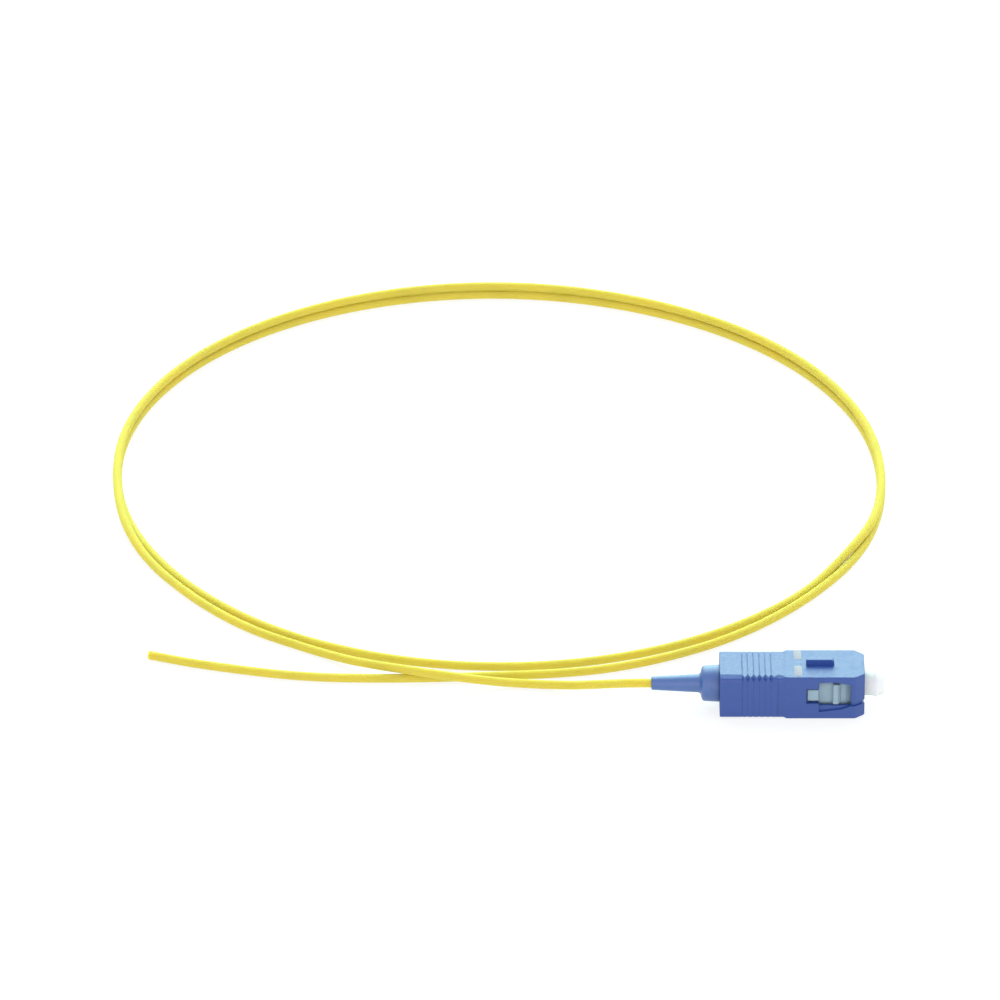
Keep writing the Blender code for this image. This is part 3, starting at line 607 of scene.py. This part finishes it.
# two white marks printed across the key face
marks = []
for tag, y0, y1 in (("near", -3.98, -0.68), ("far", 1.42, 4.36)):
    x0, x1 = 4.1 * MM, 5.28 * MM
    r = 0.06 * MM
    rings = []
    for z, inset in ((7.32 * MM, 0.0), (7.405 * MM, 0.0), (7.42 * MM, 0.03 * MM)):
        a0, a1, b0, b1 = x0 + inset, x1 - inset, y0 * MM + inset, y1 * MM - inset
        ring = []
        for cx, cy, start in ((a1 - r, b1 - r, 0), (a0 + r, b1 - r, 90), (a0 + r, b0 + r, 180), (a1 - r, b0 + r, 270)):
            for k in range(4):
                t = math.radians(start + 30 * k)
                ring.append((cx + r * math.cos(t), cy + r * math.sin(t), z))
        rings.append(ring)
    mark = loft("mark_" + tag, rings, mark_white, smooth_deg=30.0)
    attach(mark, "grip")
    marks.append(mark)

# -------------------------------------------------------------- the plug frame
FW, FZ0, FZ1 = 3.45 * MM, 1.3 * MM, 6.6 * MM
rings = []
for x, w, z0, z1, r in ((-5.0, 3.25, 1.5, 6.4, 1.3), (-4.93, 3.38, 1.37, 6.53, 1.42), (-4.8, 3.45, 1.3, 6.6, 1.5),
                        (11.95, 3.45, 1.3, 6.6, 1.5), (12.15, 3.42, 1.3, 6.6, 1.5), (13.2, 2.95, 1.38, 6.52, 1.3),
                        (13.4, 2.89, 1.4, 6.5, 1.25), (14.3, 2.82, 1.48, 6.42, 1.2), (14.45, 2.76, 1.53, 6.37, 1.15),
                        (14.5, 2.66, 1.62, 6.28, 1.05)):
    rings.append(round_ring(x * MM, w * MM, z0 * MM, z1 * MM, r * MM))
plug_frame = loft("inner_plug_frame", rings, frame_white_painted_shade)
for sgn in (-1, 1):
    y_in = sgn * 3.0 * MM
    prof = []
    for x, y, z0, z1 in ((10.13, 4.08, 2.51, 5.79), (10.19, 4.17, 2.47, 5.83), (10.3, 4.2, 2.45, 5.85),
                         (10.84, 4.2, 2.45, 5.85), (10.98, 4.1, 2.47, 5.82), (11.42, 3.44, 2.6, 5.5)):
        prof.append([(x * MM, y_in, z0 * MM), (x * MM, y_in, z1 * MM), (x * MM, sgn * (y - 0.06) * MM, z1 * MM),
                     (x * MM, sgn * y * MM, (z1 - 0.07) * MM), (x * MM, sgn * y * MM, (z0 + 0.07) * MM),
                     (x * MM, sgn * (y - 0.06) * MM, z0 * MM)])
    cut(plug_frame, loft("ridge", prof), 'UNION')
    prof = []
    for x, y, inset in ((6.12, 4.0, 0.06), (6.2, 4.12, 0.0), (7.7, 4.15, 0.0), (7.85, 4.08, 0.05), (7.9, 3.9, 0.1)):
        z0, z1 = (2.95 + inset), (4.95 - inset)
        prof.append([(x * MM, y_in, z0 * MM), (x * MM, y_in, z1 * MM), (x * MM, sgn * (y - 0.16) * MM, z1 * MM),
                     (x * MM, sgn * (y - 0.05) * MM, (z1 - 0.06) * MM), (x * MM, sgn * y * MM, (z1 - 0.2) * MM),
                     (x * MM, sgn * y * MM, (z0 + 0.3) * MM), (x * MM, sgn * (y - 0.08) * MM, (z0 + 0.1) * MM),
                     (x * MM, sgn * (y - 0.22) * MM, z0 * MM)])
    cut(plug_frame, loft("tab", prof), 'UNION')
cut(plug_frame, turned("frame_bore", [(-6.0 * MM, 0.0), (-6.0 * MM, 2.3 * MM), (6.05 * MM, 2.3 * MM),
                                      (6.05 * MM, 1.6 * MM), (7.5 * MM, 1.6 * MM), (7.5 * MM, 2.2 * MM),
                                      (14.35 * MM, 2.2 * MM), (14.55 * MM, 2.35 * MM), (15.0 * MM, 2.35 * MM),
                                      (15.0 * MM, 0.0)], None))
finish_faces(plug_frame, 30.0)
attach(plug_frame, "plug")
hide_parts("plug_frame")

# ------------------------------------------------------------------- the boot
prof = [(-18.15, 0.74), (-18.15, 0.96), (-18.02, 1.055), (-14.4, 1.25), (-10.95, 1.43), (-10.7, 1.47), (-10.5, 1.62),
        (-10.4, 1.9), (-10.33, 2.25), (-10.2, 2.58), (-10.02, 2.73), (-9.8, 2.775), (-7.72, 2.9), (-7.6, 2.88),
        (-7.56, 2.79), (-6.2, 2.79), (-6.1, 2.69), (-6.1, 1.55), (-9.9, 1.55), (-9.9, 0.74), (-17.9, 0.74)]
prof = [(x * MM, r * MM) for x, r in prof]
boot = turned("strain_relief_boot", prof, boot_rubber, rounding={1: 0.08 * MM, 2: 0.08 * MM}, smooth_deg=38.0)
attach(boot, "plug")
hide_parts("boot")

# --------------------------------------------------------------- the dust cap
prof = [(9.0, 1.3), (9.0, 1.77), (9.1, 1.865), (16.0, 1.865), (16.3, 1.88), (16.62, 1.96), (16.82, 2.05),
        (16.92, 2.08), (17.1, 2.08), (17.22, 2.03), (17.8, 1.77), (18.0, 1.67), (18.11, 1.58), (18.15, 1.45), (18.15, 0.0),
        (16.0, 0.0), (16.0, 1.1), (15.85, 1.3)]
cap = turned("dust_cap_shell", [(x * MM, r * MM) for x, r in prof], cap_clear, smooth_deg=50.0)
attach(cap, "cap")
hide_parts("dust_cap")

# ------------------------------------------------------ ferrule and its glass
prof = [(2.4, 0.0), (2.4, 1.15), (2.5, 1.25), (14.9, 1.25), (15.1, 1.235), (15.4, 1.08), (15.53, 0.95),
        (15.58, 0.8), (15.6, 0.6), (15.6, 0.07), (15.59, 0.065), (15.59, 0.0)]
ferrule = turned("ceramic_ferrule", [(x * MM, r * MM) for x, r in prof], zirconia, smooth_deg=50.0)
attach(ferrule, "ferrule")
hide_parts("ferrule")

# CAD pieces that stay, with their finishes
for node, mat in (("ferrule_flange", nickel), ("spring", steel), ("rear_body", dark_plastic)):
    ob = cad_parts[node]
    if not ob.data.materials:
        ob.data.materials.append(mat)
    for s in ob.material_slots:
        s.link = 'OBJECT'
        s.material = mat

# ------------------------------------------------------------ floor and light
me = bpy.data.meshes.new("floor")
bm = bmesh.new()
bmesh.ops.create_grid(bm, x_segments=8, y_segments=8, size=4.0)
bm.to_mesh(me)
bm.free()
floor = bpy.data.objects.new("floor", me)
scene.collection.objects.link(floor)
floor.location = (0.0, 0.0, -0.00002)
fm, fnt, fp = new_material("floor_pale")
fp.inputs["Base Color"].default_value = (0.24, 0.24, 0.24, 1.0)
fp.inputs["Roughness"].default_value = 0.9
fp.inputs["Specular IOR Level"].default_value = 0.0
fp.inputs["Emission Color"].default_value = (0.99, 1.0, 0.99, 1.0)
fp.inputs["Emission Strength"].default_value = 0.79
me.materials.append(fm)


def area_light(name, loc, target, size, energy, color=(1.0, 1.0, 1.0)):
    ld = bpy.data.lights.new(name, 'AREA')
    ld.shape = 'RECTANGLE'
    ld.size, ld.size_y = size
    ld.energy = energy
    ld.color = color
    ob = bpy.data.objects.new(name, ld)
    scene.collection.objects.link(ob)
    ob.location = loc
    d = [target[k] - loc[k] for k in range(3)]
    ob.rotation_euler = (math.atan2(math.hypot(d[0], d[1]), -d[2]), 0.0, math.atan2(-d[0], d[1]))
    # the light looks down its own -Z
    return ob


area_light("overhead", (0.0, 0.12, 1.3), (-0.02, 0.05, 0.0), (1.1, 1.1), 1.0, (1.0, 0.92, 1.0))

# the studio: a bright panel behind and above the object, a dimmer room round it
world = bpy.data.worlds.new("studio")
scene.world = world
world.use_nodes = True
wnt = world.node_tree
bg = wnt.nodes["Background"]
tc = wnt.nodes.new("ShaderNodeTexCoord")
toward = wnt.nodes.new("ShaderNodeVectorMath")
toward.operation = 'DOT_PRODUCT'
toward.inputs[1].default_value = (0.0, 0.839, 0.545)
wnt.links.new(tc.outputs["Generated"], toward.inputs[0])
wr = wnt.nodes.new("ShaderNodeValToRGB")
stops = ((0.0, (1.65, 1.6, 1.7)), (0.3, (1.5, 1.46, 1.55)), (0.5, (0.88, 0.86, 0.93)),
         (0.76, (0.66, 0.68, 0.78)), (0.87, (1.0, 1.2, 1.25)), (0.93, (2.6, 3.7, 3.2)), (1.0, (3.8, 5.4, 4.8)))
el = wr.color_ramp.elements
while len(el) < len(stops):
    el.new(0.5)
for e, (pos, col) in zip(el, stops):
    e.position = pos
    e.color = (*col, 1.0)
half = wnt.nodes.new("ShaderNodeMapRange")
half.inputs["From Min"].default_value = -1.0
half.inputs["From Max"].default_value = 1.0
wnt.links.new(toward.outputs["Value"], half.inputs["Value"])
wnt.links.new(half.outputs["Result"], wr.inputs["Fac"])
wnt.links.new(wr.outputs["Color"], bg.inputs["Color"])
bg.inputs["Strength"].default_value = 1.0

scene.view_settings.view_transform = 'Standard'
scene.view_settings.look = 'None'
scene.view_settings.exposure = 0.0
scene.view_settings.gamma = 1.0

bpy.context.view_layer.update()
